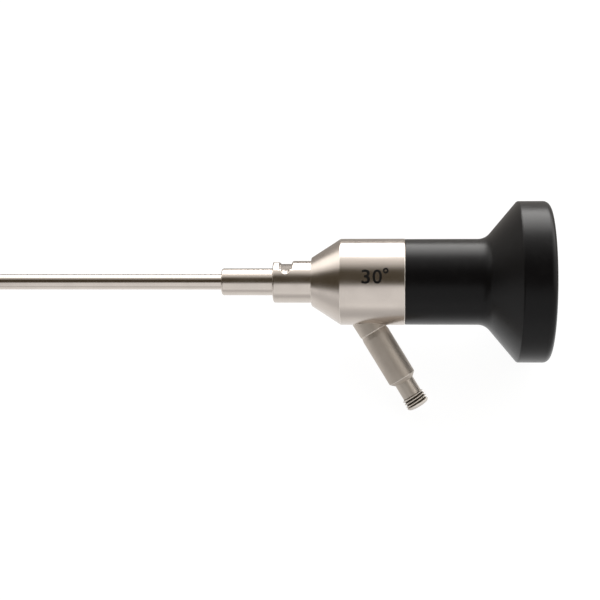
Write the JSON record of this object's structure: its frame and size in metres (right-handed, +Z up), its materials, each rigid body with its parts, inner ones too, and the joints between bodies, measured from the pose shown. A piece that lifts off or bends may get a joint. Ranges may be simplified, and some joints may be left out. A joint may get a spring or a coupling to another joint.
{
  "type": "rigid endoscope",
  "caption": "Rigid endoscope with a slim steel shaft, slant-view tip, slanted light post, locking neck and black eyecup.",
  "frame": {"origin": "on the floor, in the middle of the box that the lying scope fills", "axes": "+X runs along the scope from the shaft's tip to the eyecup, +Z is up, and the light post leans towards -Y"},
  "size_m": [0.2046, 0.0378, 0.0318],
  "materials": {
    "satin_steel": "satin, fine turning marks",
    "shaft_steel": "polished",
    "post_steel": "bead blasted",
    "eyecup_black": "satin black",
    "inner_black": "black anodised",
    "lens_glass": "coated",
    "fibre_glass": "polished ends",
    "seal_rubber": "matte"
  },
  "bodies": {
    "root": {"outer_tube": "shaft_steel", "optics_tube": "shaft_steel", "fibre_bundle": "fibre_glass", "distal_window": "lens_glass", "deflecting_prism": "lens_glass", "objective_front_lens": "lens_glass", "objective_rear_lens": "lens_glass", "objective_spacers": "inner_black", "rod_lens_1": "lens_glass", "rod_lens_2": "lens_glass", "rod_lens_3": "lens_glass", "rod_lens_4": "lens_glass", "rod_lens_5": "lens_glass", "rod_lens_6": "lens_glass", "rod_spacers": "inner_black", "root_sleeve": "satin_steel", "locking_neck": "satin_steel", "housing": "satin_steel", "housing_seal": "seal_rubber", "light_post_base": "post_steel", "light_post_sleeve": "post_steel", "light_nipple": "post_steel", "fibre_ferrule": "shaft_steel", "ocular_tube": "satin_steel", "field_stop": "inner_black", "ocular_spacer": "inner_black", "ocular_flint_lens": "lens_glass", "ocular_crown_lens": "lens_glass", "ocular_ring": "inner_black", "window_ring": "satin_steel", "eye_window": "lens_glass", "eyecup": "eyecup_black"}
  },
  "joints": []
}
